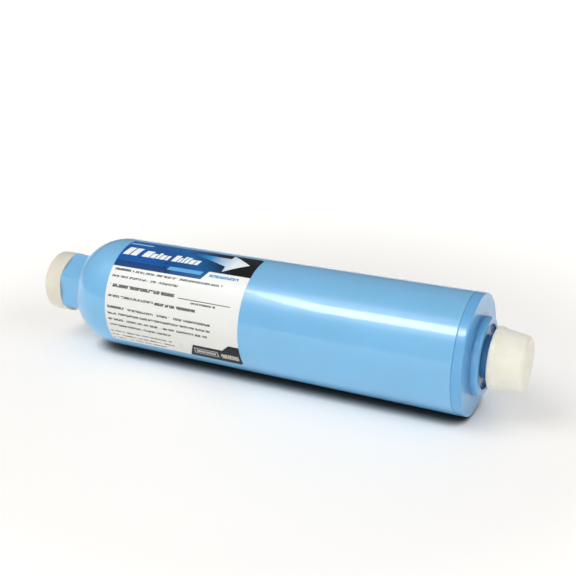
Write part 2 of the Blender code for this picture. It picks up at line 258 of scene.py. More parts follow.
# ---------------------------------------------------------------- meshes


def add_piece(name, vertices, faces, material, body):
    """A smooth-shaded mesh object, riding on a CAD body, with its faces pointing out."""
    mesh = bpy.data.meshes.new(name)
    mesh.from_pydata([tuple(v) for v in vertices], [], faces)
    shape = bmesh.new()
    shape.from_mesh(mesh)
    bmesh.ops.recalc_face_normals(shape, faces=shape.faces)
    shape.to_mesh(mesh)
    shape.free()
    mesh.shade_smooth()
    mesh.set_sharp_from_angle(angle=SHARP_ANGLE)
    mesh.materials.append(material)
    piece = bpy.data.objects.new(name, mesh)
    bpy.context.scene.collection.objects.link(piece)
    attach(piece, body)
    return piece


def ring_skin(rings, angles, closed):
    """Vertices and faces of a skin stretched over rings of (along, radius).

    Either value may be an array over the angles. A ring of radius 0 is one point on the axis.
    closed joins the last ring to the first one.
    """
    vertices = []
    rows = []
    for along, radius in rings:
        first = len(vertices)
        if np.isscalar(radius) and radius == 0.0:
            vertices.append(place(along, 0.0, 0.0))
            rows.append([first] * len(angles))
        else:
            vertices.extend(place(along, radius, angles))
            rows.append(list(range(first, first + len(angles))))
    faces = []
    pairs = list(zip(rows, rows[1:]))
    if closed:
        pairs.append((rows[-1], rows[0]))
    for row, following in pairs:
        for left in range(len(angles)):
            right = (left + 1) % len(angles)
            corners = [row[left], row[right], following[right], following[left]]
            faces.append(list(dict.fromkeys(corners)))
    return vertices, faces


def even_angles(columns):
    return np.arange(columns) * 2.0 * math.pi / columns


def rounded(points):
    """A profile whose corners, given as (along, radius, rounding), are turned into arcs.

    A point just outside each arc keeps the shading of the straight stretch next to it flat.
    """
    support = 0.3
    path = []
    for index, point in enumerate(points):
        corner = np.array(point[:2], float)
        if len(point) == 2:
            path.append(tuple(corner))
            continue
        rounding = point[2]
        before = np.array(points[index - 1][:2], float) - corner
        after = np.array(points[(index + 1) % len(points)][:2], float) - corner
        room = min(np.linalg.norm(before), np.linalg.norm(after)) / 2.0
        before /= np.linalg.norm(before)
        after /= np.linalg.norm(after)
        half = math.acos(max(-1.0, min(1.0, float(before @ after)))) / 2.0
        tangent = rounding / math.tan(half)
        middle = (before + after) / np.linalg.norm(before + after)
        center = corner + middle * rounding / math.sin(half)
        first = corner + before * tangent - center
        last = corner + after * tangent - center
        start = math.atan2(first[1], first[0])
        sweep = math.atan2(last[1], last[0]) - start
        sweep = (sweep + math.pi) % (2.0 * math.pi) - math.pi
        has_room = tangent * (1.0 + support) < room
        if has_room:
            path.append(tuple(corner + before * tangent * (1.0 + support)))
        for step in range(ARC_STEPS + 1):
            angle = start + sweep * step / ARC_STEPS
            spoke = rounding * np.array([math.cos(angle), math.sin(angle)])
            path.append(tuple(center + spoke))
        if has_room:
            path.append(tuple(corner + after * tangent * (1.0 + support)))
    return path


def turned_piece(name, points, material, body, closed=False):
    """A solid of revolution from a profile with rounded corners."""
    vertices, faces = ring_skin(rounded(points), even_angles(ROUND_COLUMNS), closed)
    return add_piece(name, vertices, faces, material, body)


def stand_in(piece, node):
    """The piece takes the place of a CAD node, which is hidden."""
    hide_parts(node)
    return piece


def smoothstep(value):
    value = np.clip(value, 0.0, 1.0)
    return value * value * (3.0 - 2.0 * value)


def thread_height(along, angles, start, turns):
    """Height of a right-handed thread, from 0 at its root to 1 at its crest."""
    winding = (along - start) / THREAD_PITCH + angles / (2.0 * math.pi)
    ridge = np.round(winding)
    distance = np.abs(winding - ridge) * THREAD_PITCH
    flank = (THREAD_ROOT_HALF - distance) / (THREAD_ROOT_HALF - THREAD_CREST_HALF)
    travelled = ridge - angles / (2.0 * math.pi)
    ends = smoothstep(travelled / THREAD_RUNOUT) * smoothstep((turns - travelled) / THREAD_RUNOUT)
    return smoothstep(flank) * ends


def thread_rings(start, turns, angles, from_along, to_along, radius):
    """Rings over a threaded stretch; radius(along, height) gives each ring's radii."""
    count = int(abs(to_along - from_along) / THREAD_PITCH * RINGS_PER_TURN)
    rings = []
    for along in np.linspace(from_along, to_along, count + 1):
        rings.append((along, radius(along, thread_height(along, angles, start, turns))))
    return rings


def hexagon_angles():
    """Angles round the axis, closer together at the six corners."""
    corner_spacing = 0.3
    steps = np.arange(HEX_COLUMNS_PER_SIDE) / HEX_COLUMNS_PER_SIDE * 2.0 - 1.0
    side = steps * (corner_spacing + (1.0 - corner_spacing) * steps * steps)
    corner_to_corner = math.radians(60.0)
    corners = math.radians(90.0) + corner_to_corner * np.arange(6)
    angles = (corners[:, None] + corner_to_corner / 2.0 * side[None, :]).ravel()
    return np.sort(angles % (2.0 * math.pi))


def hexagon_radius(angles, inset=0.0):
    """Radius of a hexagon with rounded corners, two of which point up and down.

    inset moves its sides inward, and its corners get slightly sharper.
    """
    sixth = math.radians(60.0)
    from_corner = np.abs((angles - math.radians(90.0) + sixth / 2.0) % sixth - sixth / 2.0)
    flat = HEX_FLAT - inset
    rounding = max(HEX_CORNER_ROUNDING - inset * HEX_SHARPENING, HEX_LEAST_ROUNDING)
    straight = flat / np.cos(sixth / 2.0 - from_corner)
    center = (flat - rounding) / math.cos(sixth / 2.0)
    reach = rounding ** 2 - (center * np.sin(from_corner)) ** 2
    curved = center * np.cos(from_corner) + np.sqrt(np.maximum(reach, 0.0))
    return np.where(reach > 0.0, np.minimum(straight, curved), straight)


def smooth_maximum(first, second, width):
    """The larger of two values, with a soft change-over where they differ by less than width."""
    share = np.clip(0.5 + 0.5 * (first - second) / width, 0.0, 1.0)
    return second + (first - second) * share + width * share * (1.0 - share)


# ---------------------------------------------------------------- materials


class Surface:
    """A material's node tree with short names for the nodes that the finishes are made of."""

    def __init__(self, name, **constants):
        self.material = bpy.data.materials.new(name)
        self.material.use_nodes = True
        self.tree = self.material.node_tree
        self.shader = self.tree.nodes["Principled BSDF"]
        for socket, value in constants.items():
            self.shader.inputs[socket.replace("_", " ")].default_value = value
        self.position = self.add("ShaderNodeTexCoord").outputs["Object"]

    def add(self, kind, **settings):
        node = self.tree.nodes.new(kind)
        for setting, value in settings.items():
            setattr(node, setting, value)
        return node

    def put(self, value, socket):
        """Links an output to a socket, or sets the socket to a number or a colour."""
        if isinstance(value, bpy.types.NodeSocket):
            self.tree.links.new(value, socket)
        elif isinstance(value, tuple) and len(value) == 3:
            socket.default_value = (*value, 1.0)
        else:
            socket.default_value = value

    def compute(self, operation, first, second=0.0, third=0.0):
        node = self.add("ShaderNodeMath", operation=operation)
        for socket, value in zip(node.inputs, (first, second, third)):
            self.put(value, socket)
        return node.outputs[0]

    def product(self, *values):
        result = values[0]
        for value in values[1:]:
            result = self.compute("MULTIPLY", result, value)
        return result

    def highest(self, *values):
        result = values[0]
        for value in values[1:]:
            result = self.compute("MAXIMUM", result, value)
        return result

    def remap(self, value, low, high, to_low, to_high):
        node = self.add("ShaderNodeMapRange")
        for socket, number in zip(node.inputs, (value, low, high, to_low, to_high)):
            self.put(number, socket)
        return node.outputs[0]

    def mix(self, share, first, second):
        node = self.add("ShaderNodeMix", data_type="RGBA")
        self.put(share, node.inputs["Factor"])
        self.put(first, node.inputs[6])
        self.put(second, node.inputs[7])
        return node.outputs[2]

    def noise(self, feature_mm, detail=2.0, roughness=0.5, vector=None):
        """Smooth noise whose features are about as wide as the given size."""
        node = self.add("ShaderNodeTexNoise")
        self.tree.links.new(vector or self.position, node.inputs["Vector"])
        node.inputs["Scale"].default_value = 1.0 / feature_mm if vector else 1.0 / (feature_mm * MM)
        node.inputs["Detail"].default_value = detail
        node.inputs["Roughness"].default_value = roughness
        return node.outputs[0]

    def cells(self, feature_mm, output="Distance"):
        node = self.add("ShaderNodeTexVoronoi")
        self.tree.links.new(self.position, node.inputs["Vector"])
        node.inputs["Scale"].default_value = 1.0 / (feature_mm * MM)
        return node.outputs[output]

    def openness(self, reach, low, high):
        """0 in creases whose surroundings within reach (in metres) are closed, 1 on open surfaces; it masks
        painted shade.
        """
        node = self.add("ShaderNodeAmbientOcclusion", samples=8)
        node.inputs["Distance"].default_value = reach
        return self.remap(node.outputs["AO"], low, high, 0.0, 1.0)

    def color(self, value):
        self.put(value, self.shader.inputs["Base Color"])

    def rough(self, value):
        self.put(value, self.shader.inputs["Roughness"])

    def bump(self, *layers):
        """Each layer is (height from 0 to 1, depth in mm)."""
        normal = None
        for height, depth in layers:
            node = self.add("ShaderNodeBump")
            node.inputs["Strength"].default_value = 1.0
            node.inputs["Distance"].default_value = depth * MM
            self.put(height, node.inputs["Height"])
            if normal is not None:
                self.put(normal, node.inputs["Normal"])
            normal = node.outputs[0]
        self.put(normal, self.shader.inputs["Normal"])


def srgb(red, green, blue):
    """A colour in screen values, 0 to 255, as the linear values that a shader takes."""
    linear = []
    for value in (red / 255.0, green / 255.0, blue / 255.0):
        linear.append(value / 12.92 if value <= 0.04045 else ((value + 0.055) / 1.055) ** 2.4)
    return tuple(linear)


def polyethylene_blue(name, color, crease_shade_color=None):
    """Glossy moulded plastic: faint colour drift, mould waviness and fine orange peel.

    With a shade colour, narrow grooves and inner corners are painted towards it, as painted shade.
    """
    surface = Surface(
        name,
        IOR=1.5,
        Coat_Weight=0.7,
        Coat_Roughness=0.09,
        Subsurface_Weight=0.12,
        Subsurface_Radius=(0.5, 0.8, 1.0),
        Subsurface_Scale=0.003,
    )
    drift = surface.noise(45.0, 3.0)
    darker = tuple(value * 0.94 for value in color)
    tint = surface.mix(surface.remap(drift, 0.35, 0.65, 0.0, 1.0), darker, color)
    if crease_shade_color:
        # Painted shade: grooves and inner corners turn towards the shade colour where little light reaches
        # them
        tint = surface.mix(surface.openness(0.005, 0.41, 0.77), crease_shade_color, tint)
    surface.color(tint)
    surface.rough(surface.remap(surface.noise(14.0, 4.0), 0.3, 0.7, 0.28, 0.40))
    surface.bump((surface.noise(38.0, 1.0), 0.16), (surface.noise(2.2, 2.0), 0.0045))
    bumped = surface.shader.inputs["Normal"].links[0].from_socket
    surface.put(bumped, surface.shader.inputs["Coat Normal"])
    return surface.material


def polyethylene_cream(name, color):
    """Soft, slightly translucent plastic with a satin, faintly streaked skin."""
    surface = Surface(
        name,
        IOR=1.48,
        Subsurface_Weight=0.35,
        Subsurface_Radius=(1.0, 0.8, 0.5),
        Subsurface_Scale=0.004,
    )
    drift = surface.noise(9.0, 3.0)
    darker = (color[0] * 0.95, color[1] * 0.93, color[2] * 0.88)
    surface.color(surface.mix(surface.remap(drift, 0.35, 0.7, 0.0, 1.0), darker, color))
    surface.rough(surface.remap(surface.noise(3.0, 3.0), 0.3, 0.7, 0.28, 0.42))
    surface.bump((surface.noise(6.0, 2.0), 0.10), (surface.noise(0.7, 2.0), 0.010))
    return surface.material


def washer_rubber():
    surface = Surface("black_rubber", Roughness=0.6)
    surface.color(surface.mix(surface.noise(2.0, 4.0), (0.012, 0.012, 0.013), (0.035, 0.035, 0.036)))
    surface.bump((surface.noise(0.5, 3.0), 0.03))
    return surface.material


def white_plastic():
    surface = Surface("white_plastic", Roughness=0.45, Subsurface_Weight=0.1, Subsurface_Scale=0.002)
    surface.color(surface.mix(surface.noise(8.0, 2.0), (0.70, 0.70, 0.67), (0.82, 0.82, 0.79)))
    surface.bump((surface.noise(1.2, 2.0), 0.02))
    return surface.material


def felt(name, dark, light, fibre_mm):
    """Matted fibres: fine noise over broader clumps, with a soft sheen."""
    surface = Surface(name, Roughness=0.95, Sheen_Weight=0.4, Sheen_Roughness=0.6)
    fibres = surface.noise(fibre_mm, 8.0, 0.75)
    clumps = surface.noise(fibre_mm * 9.0, 3.0)
    surface.color(surface.mix(surface.product(fibres, clumps, 3.2), dark, light))
    surface.bump((fibres, fibre_mm * 0.5), (clumps, fibre_mm))
    return surface.material


def granules(name, dark, light, grain_mm, metallic, roughness):
    """A packed bed of small grains, each with its own shade."""
    surface = Surface(name, Roughness=roughness, Metallic=metallic)
    shade = surface.cells(grain_mm, "Color")
    surface.color(surface.mix(shade, dark, light))
    surface.bump((surface.compute("SUBTRACT", 1.0, surface.cells(grain_mm)), grain_mm * 0.5))
    return surface.material


def open_foam():
    surface = Surface("open_cell_foam", Roughness=0.95, Sheen_Weight=0.2)
    pores = surface.cells(1.1)
    # Painted shade: the pores are painted darker than the cell walls
    cell_wall = surface.remap(pores, 0.1, 0.6, 0.0, 1.0)
    surface.color(surface.mix(cell_wall, (0.05, 0.05, 0.055), (0.24, 0.24, 0.25)))
    surface.bump((pores, 0.6))
    return surface.material


class LabelPrint(Surface):
    """The label's print, drawn in millimetres across (from its inlet edge) and up (from its low edge)."""

    def __init__(self):
        super().__init__("printed_label", Specular_IOR_Level=0.2)
        uv = self.add("ShaderNodeUVMap", uv_map="label").outputs[0]
        axes = self.add("ShaderNodeSeparateXYZ")
        self.put(uv, axes.inputs[0])
        self.across = self.compute("MULTIPLY", axes.outputs[0], LABEL_LENGTH)
        self.up = self.compute("MULTIPLY", axes.outputs[1], LABEL_HEIGHT)
        # Painted shade: the paper is painted greyer towards the low edge, which faces down
        low_shade_fade = self.remap(self.up, 4.0, 60.0, 0.0, 1.0)
        self.paint = self.mix(low_shade_fade, (0.74, 0.73, 0.70), (0.85, 0.87, 0.85))

    def between(self, value, low, high):
        return self.compute("COMPARE", value, (low + high) / 2.0, (high - low) / 2.0)

    def box(self, left, right, low, high, lean=0.0):
        """1 inside a rectangle and 0 outside it; lean is its slant to the right for each mm of height."""
        across = self.across
        if lean:
            height = self.compute("SUBTRACT", self.up, low)
            across = self.compute("SUBTRACT", across, self.product(height, lean))
        return self.product(self.between(across, left, right), self.between(self.up, low, high))

    def stretched(self, across_mm, up_mm, offset):
        """Noise with features of one size across the label and another up it."""
        vector = self.add("ShaderNodeCombineXYZ")
        self.put(self.compute("DIVIDE", self.across, across_mm), vector.inputs[0])
        self.put(self.compute("DIVIDE", self.up, up_mm), vector.inputs[1])
        vector.inputs[2].default_value = offset
        return self.noise(1.0, 1.0, vector=vector.outputs[0])

    def ink(self, mask, color):
        """Prints a colour over what is there, where the mask is 1."""
        self.paint = self.mix(mask, self.paint, color)

    def title_word(self, left, low, widths, heights, gap):
        """A row of plain slanting blocks: the shape that a word makes, with no letters in it."""
        word = 0.0
        for width, height in zip(widths, heights):
            word = self.highest(word, self.box(left, left + width, low, low + height, 0.28))
            left += width + gap
        return word


def label_print():
    """A generic printed label: header band, flow arrow, greeked lines of text and a stepped badge."""
    surface = LabelPrint()
    across, up = surface.across, surface.up

    # Header band: blue on the left, nearly black on the right, its lower edge stepping up on the right
    header_low = surface.remap(across, 61.5, 65.0, 52.2, 58.4)
    header = surface.compute("GREATER_THAN", up, header_low)
    fade = surface.remap(surface.compute("ADD", across, surface.product(up, 0.35)), 45.0, 92.0, 0.0, 1.0)
    surface.ink(header, surface.mix(fade, srgb(0, 84, 160), srgb(8, 8, 8)))
    lower_stripe = surface.product(surface.box(0.0, 40.0, 52.2, 56.5), header)
    surface.ink(lower_stripe, surface.mix(fade, srgb(0, 60, 116), srgb(8, 8, 8)))
    past_glow = surface.compute("SUBTRACT", surface.compute("ADD", across, up), 117.0)
    glow = surface.remap(surface.compute("ABSOLUTE", past_glow), 0.0, 22.0, 0.55, 0.0)
    surface.ink(surface.product(header, glow), srgb(16, 112, 186))

    # Flow arrow: a long tapering shaft and a head that point to the outlet
    shaft_start, head_start, head_tip, head_middle = 43.0, 72.6, 87.0, 68.7
    shaft_middle = surface.remap(across, shaft_start, head_start, 73.4, head_middle)
    off_shaft = surface.compute("ABSOLUTE", surface.compute("SUBTRACT", up, shaft_middle))
    shaft = surface.product(
        surface.between(across, shaft_start, head_start),
        surface.compute("LESS_THAN", off_shaft, surface.remap(across, shaft_start, head_start, 0.2, 4.3)),
    )
    off_middle = surface.compute("ABSOLUTE", surface.compute("SUBTRACT", up, head_middle))
    head = surface.product(
        surface.between(across, head_start, head_tip),
        surface.compute("LESS_THAN", off_middle, surface.remap(across, head_start, head_tip, 8.9, 0.0)),
    )
    arrow_color = surface.mix(
        surface.remap(across, 46.0, 60.0, 0.0, 1.0),
        srgb(14, 62, 120),
        surface.mix(surface.remap(across, 60.0, 78.0, 0.0, 1.0), srgb(40, 142, 208), srgb(232, 240, 244)),
    )
    surface.ink(surface.highest(shaft, head), arrow_color)

    # Title and tag line
    title = surface.highest(
        surface.title_word(1.6, 61.6, (4.6, 4.6), (7.4, 7.4), 0.9),
        surface.title_word(15.2, 61.8, (5.4, 3.2, 2.2, 3.2, 2.2), (6.0, 4.2, 5.6, 4.2, 4.2), 0.6),
        surface.title_word(36.4, 61.8, (3.6, 1.7, 1.7, 2.4, 3.4, 2.6), (6.0, 4.2, 6.0, 5.6, 4.2, 4.2), 0.6),
    )
    surface.ink(title, srgb(240, 244, 246))
    surface.ink(surface.box(0.8, 16.7, 73.0, 74.6, 0.3), srgb(150, 190, 224))
    surface.ink(surface.box(36.9, 60.2, 55.0, 57.6, 0.5), srgb(96, 168, 216))

    # Lines of text, greeked: (left, right, height above the low edge, letter height, weight from 0 to 1)
    strokes = surface.stretched(0.62, 1.3, 3.0)
    words = surface.compute("GREATER_THAN", surface.stretched(2.3, 3.4, 9.0), 0.39)
    lines = (
        (1.8, 14.0, 50.1, 1.6, 0.75),
        (15.0, 78.4, 49.9, 1.4, 0.35),
        (1.8, 48.8, 45.5, 1.4, 0.30),
        (2.0, 48.0, 39.5, 2.0, 0.85),
        (59.4, 77.0, 36.9, 1.1, 0.45),
        (2.0, 34.4, 33.0, 1.4, 0.40),
        (35.2, 63.5, 32.7, 1.7, 0.85),
        (1.7, 14.0, 26.1, 1.6, 0.75),
        (15.0, 74.0, 25.8, 1.4, 0.40),
        (1.7, 74.0, 22.0, 1.4, 0.40),
        (1.7, 71.8, 18.0, 1.4, 0.40),
        (1.7, 47.0, 14.0, 1.4, 0.35),
        (1.7, 45.6, 8.8, 1.1, 0.30),
        (1.7, 46.8, 5.6, 1.1, 0.30),
        (1.7, 40.0, 2.4, 1.1, 0.30),
    )
    text = 0.0
    for left, right, middle, height, weight in lines:
        row = surface.box(left, right, middle - height / 2.0, middle + height / 2.0)
        marks = surface.compute("GREATER_THAN", strokes, 0.50 - 0.22 * weight)
        text = surface.highest(text, surface.product(row, marks, words))
    surface.ink(surface.product(text, 0.85), srgb(44, 40, 38))
    surface.ink(surface.box(50.7, 85.9, 38.4, 38.85), srgb(60, 58, 56))

    # Small blue words under the header's step
    small = surface.box(66.0, 85.5, 54.7, 56.6, 0.2)
    small_marks = surface.compute("GREATER_THAN", strokes, 0.44)
    surface.ink(surface.product(small, small_marks), srgb(84, 150, 200))

    # Stepped badge in the lower right corner
    badge_top = surface.compute(
        "ADD",
        surface.remap(across, 56.4, 60.7, 0.0, 10.4),
        surface.remap(across, 80.6, 85.4, 0.0, 4.4),
    )
    surface.ink(surface.compute("LESS_THAN", up, badge_top), srgb(28, 30, 36))
    surface.ink(surface.box(60.6, 77.0, 3.4, 8.2), srgb(176, 174, 164))
    surface.ink(surface.box(61.2, 76.4, 4.0, 7.6), srgb(52, 66, 96))
    badge_words = surface.highest(surface.box(62.4, 75.2, 4.9, 6.7), surface.box(78.8, 90.6, 3.6, 7.4))
    badge_words = surface.product(badge_words, surface.compute("GREATER_THAN", strokes, 0.42))
    surface.ink(badge_words, srgb(196, 192, 176))

    surface.color(surface.paint)
    surface.rough(surface.remap(surface.noise(6.0, 3.0), 0.3, 0.7, 0.26, 0.36))
    surface.bump((surface.noise(10.0, 2.0), 0.05), (surface.noise(0.5, 2.0), 0.003))
    return surface.material


# ---------------------------------------------------------------- pieces


def build_housing(material):
    """Tube, dome and hexagonal boss in one closed skin, with the socket's thread inside the boss."""
    angles = hexagon_angles()
    dome_center = outer_radius(DOME_START) - DOME_ROUNDING
    mouth = -SEAM_GAP / 2.0

    tube_start = mouth - MOUTH_LENGTH
    rings = rounded(
        [
            (mouth, inner_radius(mouth) + MOUTH_LIP),
            (mouth, outer_radius(mouth), SEAM_ROUNDING),
            (tube_start, outer_radius(tube_start)),
        ]
    )
    for along in np.linspace(tube_start, DOME_START, TUBE_RINGS)[1:]:
        rings.append((along, outer_radius(along)))

    # Dome, then its blend into the hexagon's sides
    def dome_radius(along):
        return dome_center + math.sqrt(max(DOME_ROUNDING ** 2 - (DOME_START - along) ** 2, 0.0))

    hexagon = hexagon_radius(angles)
    free_sweep = DOME_SWEEP - DOME_BLEND_SWEEP
    blend_start = DOME_START - DOME_ROUNDING * math.sin(free_sweep)
    blend_end = DOME_START - DOME_ROUNDING * math.sin(DOME_SWEEP) - HEX_BLEND_LENGTH
    dome_places = []
    for step in range(1, DOME_STEPS):
        dome_places.append(DOME_START - DOME_ROUNDING * math.sin(free_sweep * step / DOME_STEPS))
    dome_places.extend(np.linspace(blend_start, blend_end, BLEND_RINGS))
    for along in dome_places:
        rings.append((along, smooth_maximum(dome_radius(along), hexagon, HEX_BLEND)))

    # Hexagon's sides, the rounded edge of its face, and the face
    edge_start = HEX_FACE + HEX_EDGE_ROUNDING
    for along in np.linspace(blend_end, edge_start + HEX_FACE_MARGIN, HEX_SIDE_RINGS)[1:]:
        rings.append((along, hexagon))
    for step in range(ARC_STEPS + 1):
        turn = math.pi / 2.0 * step / ARC_STEPS
        inset = HEX_EDGE_ROUNDING * (1.0 - math.cos(turn))
        rings.append((edge_start - HEX_EDGE_ROUNDING * math.sin(turn), hexagon_radius(angles, inset)))
    rings.append((HEX_FACE, hexagon_radius(angles, HEX_EDGE_ROUNDING + HEX_FACE_MARGIN)))

    # Socket: chamfered mouth, thread, washer recess, throat
    lead_in = FEMALE_MINOR + SOCKET_LEAD_IN
    washer_length = end_of("inlet_hose_washer") - start_of("inlet_hose_washer")
    recess_start = WASHER_SEAT - washer_length - WASHER_HEADROOM
    lip_start = recess_start - RECESS_LIP
    rings.append((HEX_FACE, lead_in + SOCKET_EDGE))
    rings.append((HEX_FACE + SOCKET_EDGE_DEPTH, lead_in))

    def groove_radius(along, height):
        chamfer = FEMALE_MINOR + max(HEX_FACE + SOCKET_LEAD_IN - along, 0.0)
        return np.maximum(chamfer, FEMALE_MINOR + (FEMALE_MAJOR - FEMALE_MINOR) * height)

    thread_start = HEX_FACE - THREAD_LEAD
    socket_start = HEX_FACE + SOCKET_MARGIN
    thread_end = lip_start - THREAD_RING_GAP
    rings += thread_rings(thread_start, FEMALE_TURNS, angles, socket_start, thread_end, groove_radius)
    inner_end = WASHER_SEAT + WALL
    inner_rounding = DOME_ROUNDING - WALL
    rings += rounded(
        [
            (lip_start, FEMALE_MINOR),
            (recess_start, WASHER_RECESS_RADIUS, 0.2),
            (WASHER_SEAT, WASHER_RECESS_RADIUS, 0.4),
            (WASHER_SEAT, THROAT_RADIUS, 0.4),
            (inner_end, THROAT_RADIUS, 0.6),
            (inner_end, THROAT_RADIUS + THROAT_LAND),
        ]
    )
    inner_sweep = math.asin((DOME_START - inner_end) / inner_rounding)
    for step in range(INNER_DOME_STEPS + 1):
        sweep = inner_sweep * (1.0 - step / INNER_DOME_STEPS)
        along = DOME_START - inner_rounding * math.sin(sweep)
        rings.append((along, dome_center + inner_rounding * math.cos(sweep)))
    for along in np.linspace(DOME_START, mouth, INNER_TUBE_RINGS)[1:]:
        rings.append((along, inner_radius(along)))

    vertices, faces = ring_skin(rings, angles, closed=True)
    stand_in(add_piece("housing_moulding", vertices, faces, material, "filter"), "housing_shell")


def join_rib(piece, angle, reach, start, end):
    """Joins a flat rib to the piece, right across the axis, at an angle round it."""
    half = math.atan2(RIB_THICKNESS / 2.0, reach)
    opposite = angle + math.pi
    corner_angles = np.array([angle - half, angle + half, opposite - half, opposite + half])
    corner_radius = math.hypot(RIB_THICKNESS / 2.0, reach)
    vertices, _ = ring_skin([(start, corner_radius), (end, corner_radius)], corner_angles, closed=False)
    faces = [(0, 1, 2, 3), (4, 7, 6, 5), (0, 4, 5, 1), (1, 5, 6, 2), (2, 6, 7, 3), (3, 7, 4, 0)]
    tool_mesh = bpy.data.meshes.new("rib")
    tool_mesh.from_pydata([tuple(v) for v in vertices], [], faces)
    tool = bpy.data.objects.new("rib", tool_mesh)
    bpy.context.scene.collection.objects.link(tool)
    union = piece.modifiers.new("rib", "BOOLEAN")
    union.operation = "UNION"
    union.solver = "EXACT"
    union.object = tool
    evaluated = piece.evaluated_get(bpy.context.evaluated_depsgraph_get())
    joined = bpy.data.meshes.new_from_object(evaluated)
    piece.modifiers.clear()
    piece.data = joined
    bpy.data.objects.remove(tool)
    joined.shade_smooth()
    joined.set_sharp_from_angle(angle=SHARP_ANGLE)


def build_end_cap(material):
    """Flange, round boss and threaded spout in one turned skin, with support ribs joined on behind."""
    angles = even_angles(ROUND_COLUMNS)
    back = SEAM_GAP / 2.0
    spigot_radius = inner_radius(0.0) - SPIGOT_GAP
    inner_spigot = spigot_radius - SPIGOT_WALL
    thread_start = SPOUT_TIP - THREAD_LEAD - MALE_TURNS * THREAD_PITCH
    thread_from = thread_start - THREAD_ROOT_HALF
    thread_to = SPOUT_TIP - 2.0 * SPOUT_TIP_ROUNDING + SPOUT_TIP_LAND

    spout = rounded(
        [
            (BOSS_CORE_FACE, SPOUT_BORE + SPOUT_BORE_LIP),
            (BOSS_CORE_FACE, SPOUT_BORE, 0.6),
            (SPOUT_TIP, SPOUT_BORE, 0.4),
            (SPOUT_TIP, MALE_MINOR, SPOUT_TIP_ROUNDING),
            (thread_to, MALE_MINOR),
        ]
    )
    rings = spout[1:-1]

    def ridge_radius(along, height):
        return MALE_MINOR + (MALE_MAJOR - MALE_MINOR) * height

    rings += thread_rings(thread_start, MALE_TURNS, angles, thread_to, thread_from, ridge_radius)
    rings += rounded(
        [
            (thread_from - 2.0 * THREAD_RING_GAP, MALE_MINOR),
            (BOSS_FACE - BOSS_RECESS_DEPTH, MALE_MINOR, BOSS_FILLET),
            (BOSS_FACE - BOSS_RECESS_DEPTH, BOSS_RECESS_RADIUS, BOSS_FILLET),
            (BOSS_FACE, BOSS_RECESS_RADIUS, BOSS_FILLET),
            (BOSS_FACE, BOSS_RADIUS, BOSS_ROUNDING),
            (FLANGE_FACE, BOSS_RADIUS, BOSS_FILLET),
            (FLANGE_FACE, BODY_RADIUS - FLANGE_DRAFT, FLANGE_ROUNDING),
            (back, BODY_RADIUS, SEAM_ROUNDING),
            (back, spigot_radius, 0.3),
            (SPIGOT_END, spigot_radius, 0.5),
            (SPIGOT_END, inner_spigot, 0.5),
            (FLANGE_INNER_FACE, inner_spigot, 0.8),
            (FLANGE_INNER_FACE, BOSS_CORE_RADIUS + BOSS_CORE_DRAFT, 0.6),
            (BOSS_CORE_FACE, BOSS_CORE_RADIUS, 0.8),
            (BOSS_CORE_FACE, SPOUT_BORE + BOSS_CORE_LAND),
        ]
    )
    vertices, faces = ring_skin(rings, angles, closed=True)
    end_cap = add_piece("outlet_end_moulding", vertices, faces, material, "filter")
    reach = inner_spigot + SPIGOT_WALL / 2.0
    rib_start = SPIGOT_END + RIB_SETBACK
    rib_end = FLANGE_INNER_FACE + RIB_EMBED
    for line in range(RIB_LINES):
        join_rib(end_cap, math.pi * (line + 0.5) / RIB_LINES, reach, rib_start, rib_end)
    stand_in(end_cap, "outlet_end_cap")


def build_weld_line(material):
    """The weld between housing and end cap, a little below the surface."""
    half = SEAM_GAP / 2.0 - WELD_CLEARANCE
    root = inner_radius(0.0)
    top = BODY_RADIUS - WELD_DEPTH
    points = [(half, root), (half, top, WELD_ROUNDING), (-half, top, WELD_ROUNDING), (-half, root)]
    turned_piece("weld_line", points, material, "filter", closed=True)


def build_inlet_plug(material):
    """Flanged plug with a deep conical cup."""
    cup_floor = PLUG_STEM_END - PLUG_FLOOR
    points = [
        (PLUG_STEM_END, 0.0),
        (PLUG_STEM_END, PLUG_STEM_RADIUS - PLUG_STEM_DRAFT, 0.9),
        (PLUG_SEAT, PLUG_STEM_RADIUS, 0.5),
        (PLUG_SEAT, PLUG_RADIUS, 0.35),
        (PLUG_RIM, PLUG_RADIUS, 1.3),
        (PLUG_RIM, PLUG_CUP_RADIUS, 0.9),
        (PLUG_SEAT, PLUG_WELL_RADIUS, 1.2),
        (cup_floor, PLUG_WELL_RADIUS - PLUG_WELL_DRAFT, 1.0),
        (cup_floor, GATE_RADIUS, 0.1),
        (cup_floor - GATE_DEPTH, GATE_RADIUS - GATE_DRAFT, 0.15),
        (cup_floor - GATE_DEPTH, 0.0),
    ]
    stand_in(turned_piece("inlet_push_plug", points, material, "plug"), "inlet_plug")


def build_outlet_cap(material):
    """Push-on cap with a bead round its mouth and a well-rounded closed end."""
    bead_end = CAP_MOUTH + CAP_BEAD_WIDTH
    mouth_hole = CAP_RADIUS - CAP_MOUTH_WALL
    tip_hole = MALE_MAJOR + CAP_THREAD_CLEARANCE
    inner_end = CAP_END - CAP_WALL
    points = [
        (CAP_END - GATE_DEPTH, 0.0),
        (CAP_END - GATE_DEPTH, GATE_RADIUS, 0.1),
        (CAP_END, GATE_RADIUS + GATE_DRAFT, 0.1),
        (CAP_END, CAP_END_RADIUS, CAP_ROUNDING),
        (bead_end + CAP_BEAD_SLOPE, CAP_RADIUS, 3.0),
        (bead_end, CAP_BEAD_RADIUS, 2.0),
        (CAP_MOUTH, CAP_BEAD_RADIUS, 0.9),
        (CAP_MOUTH, mouth_hole, 0.5),
        (SPOUT_TIP - CAP_HOLE_OVERLAP, tip_hole, 0.6),
        (inner_end, tip_hole - CAP_HOLE_DRAFT, 1.5),
        (inner_end, 0.0),
    ]
    stand_in(turned_piece("outlet_push_cap", points, material, "cap"), "outlet_cap")


